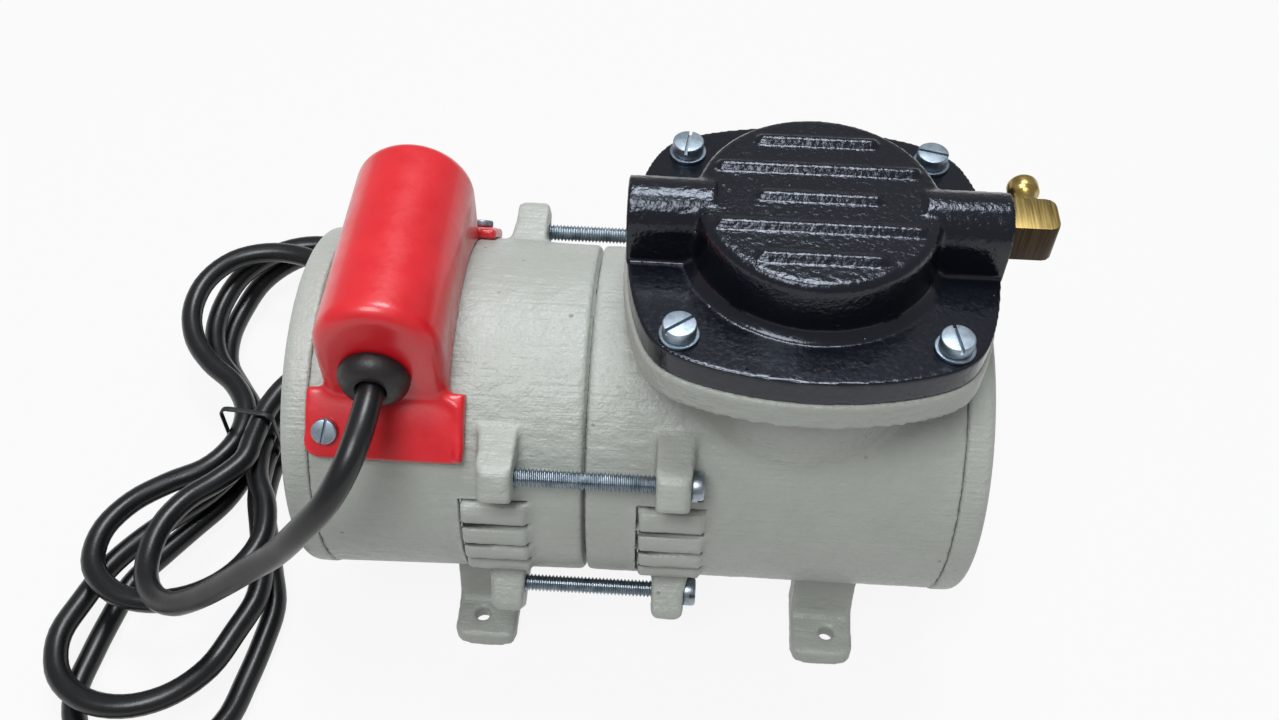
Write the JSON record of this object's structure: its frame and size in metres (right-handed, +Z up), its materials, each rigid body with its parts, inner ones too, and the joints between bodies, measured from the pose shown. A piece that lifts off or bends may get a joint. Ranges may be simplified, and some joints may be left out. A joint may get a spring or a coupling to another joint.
{
  "type": "vacuum pump",
  "caption": "Oil-free diaphragm vacuum pump: finned-louvre motor, eccentric crankcase, round pump head with side ports, and a tied mains lead.",
  "frame": {"origin": "on the floor, in the middle of the four foot holes", "axes": "+X along the motor shaft towards the crankcase and pump head, +Y to the back, +Z up"},
  "size_m": [0.2794, 0.2118, 0.1544],
  "materials": {
    "casing": "grey-green stove enamel over a cast skin, satin",
    "head": "black enamel over a cast skin, semi-gloss",
    "cover_red": "red powder coat, glossy",
    "zinc_steel": "bright zinc plate",
    "washer_steel": "zinc plate, satin",
    "tie_steel": "zinc plate on long bolts",
    "brass": "turned and cast brass, lightly tarnished",
    "core_steel": "laminated electrical steel",
    "copper": "varnished copper wire",
    "cast_aluminium": "die cast",
    "shaft_steel": "ground steel",
    "bearing_steel": "polished",
    "fan_plastic": "moulded, matte",
    "dark_steel": "blackened",
    "rod_aluminium": "machined casting",
    "diaphragm_rubber": "matte",
    "valve_rubber": "matte",
    "gasket": "pressed fibre",
    "capacitor_can": "plain moulded can",
    "grommet_rubber": "matte, slightly worn",
    "cord_pvc": "smooth flexible sheath, semi-gloss",
    "tie_wire": "plastic coated wire",
    "plug_plastic": "moulded",
    "pin_nickel": "nickel plate"
  },
  "bodies": {
    "casing": {"motor_housing": "casing", "crankcase_housing": "casing", "motor_end_cover": "casing", "crankcase_end_cover": "casing", "end_cover_screws": "zinc_steel", "tie_bolts": "tie_steel", "stator_core": "core_steel", "stator_windings": "copper", "rear_bearing_outer": "bearing_steel", "front_bearing_outer": "bearing_steel", "preload_washer": "dark_steel", "diaphragm": "diaphragm_rubber", "valve_plate": "rod_aluminium", "valve_plate_gasket": "gasket", "valve_plate_screws": "zinc_steel", "valve_stems": "zinc_steel", "pump_head": "head", "head_screws": "zinc_steel", "head_washers": "washer_steel", "capacitor": "capacitor_can", "capacitor_cover": "cover_red", "capacitor_cover_screws": "zinc_steel", "cord_grommet": "grommet_rubber", "outlet_elbow": "brass", "hose_nozzle": "brass", "mains_cord": "cord_pvc", "cord_hank": "cord_pvc", "cord_tail": "cord_pvc", "cord_tie": "tie_wire", "plug_body": "plug_plastic", "plug_pins": "pin_nickel"},
    "rotor": {"motor_shaft": "shaft_steel", "rotor_core": "core_steel", "rotor_cage": "cast_aluminium", "cooling_fan": "fan_plastic", "rear_bearing_inner": "bearing_steel", "front_bearing_inner": "bearing_steel", "shaft_circlip": "dark_steel", "eccentric": "shaft_steel", "eccentric_set_screw": "dark_steel", "rod_bearing_inner": "bearing_steel"},
    "rear_balls": {"rear_bearing_cage": "bearing_steel"},
    "front_balls": {"front_bearing_cage": "bearing_steel"},
    "rod_balls": {"rod_bearing_cage": "bearing_steel"},
    "rod": {"connecting_rod": "rod_aluminium", "rod_bearing_outer": "bearing_steel", "lower_clamp_disc": "zinc_steel", "upper_clamp_disc": "zinc_steel", "clamp_screw": "dark_steel"},
    "inlet_disc": {"inlet_valve": "valve_rubber"},
    "outlet_disc": {"outlet_valve": "valve_rubber"}
  },
  "joints": [
    {"name": "shaft_spin", "type": "hinge", "parent": "casing", "child": "rotor", "pos_m": [-0.02045, 0, 0.064], "axis": [1, 0, 0], "continuous": true, "deforming": ["diaphragm"]},
    {"name": "rear_balls_spin", "type": "hinge", "parent": "casing", "child": "rear_balls", "pos_m": [-0.02045, 0, 0.064], "axis": [1, 0, 0], "continuous": true},
    {"name": "front_balls_spin", "type": "hinge", "parent": "casing", "child": "front_balls", "pos_m": [-0.02045, 0, 0.064], "axis": [1, 0, 0], "continuous": true},
    {"name": "rod_balls_spin", "type": "hinge", "parent": "rotor", "child": "rod_balls", "pos_m": [0.03585, 0, 0.0615], "axis": [1, 0, 0], "continuous": true},
    {"name": "rod_turn", "type": "hinge", "parent": "rotor", "child": "rod", "pos_m": [0.03585, 0, 0.0615], "axis": [1, 0, 0], "continuous": true},
    {"name": "inlet_valve_lift", "type": "slide", "parent": "casing", "child": "inlet_disc", "axis": [0, 0, -1], "range_m": [0, 0.0008], "stiffness_N_per_m": 20, "springref_m": -0.0005},
    {"name": "outlet_valve_lift", "type": "slide", "parent": "casing", "child": "outlet_disc", "axis": [0, 0, 1], "range_m": [0, 0.0008], "stiffness_N_per_m": 20, "springref_m": -0.0005}
  ],
  "couplings": [
    {"joint": "rod_turn", "follows": "shaft_spin", "ratio": -1},
    {"joint": "rear_balls_spin", "follows": "shaft_spin", "ratio": 0.36944},
    {"joint": "front_balls_spin", "follows": "shaft_spin", "ratio": 0.36944},
    {"joint": "rod_balls_spin", "follows": "shaft_spin", "ratio": -0.59038}
  ]
}
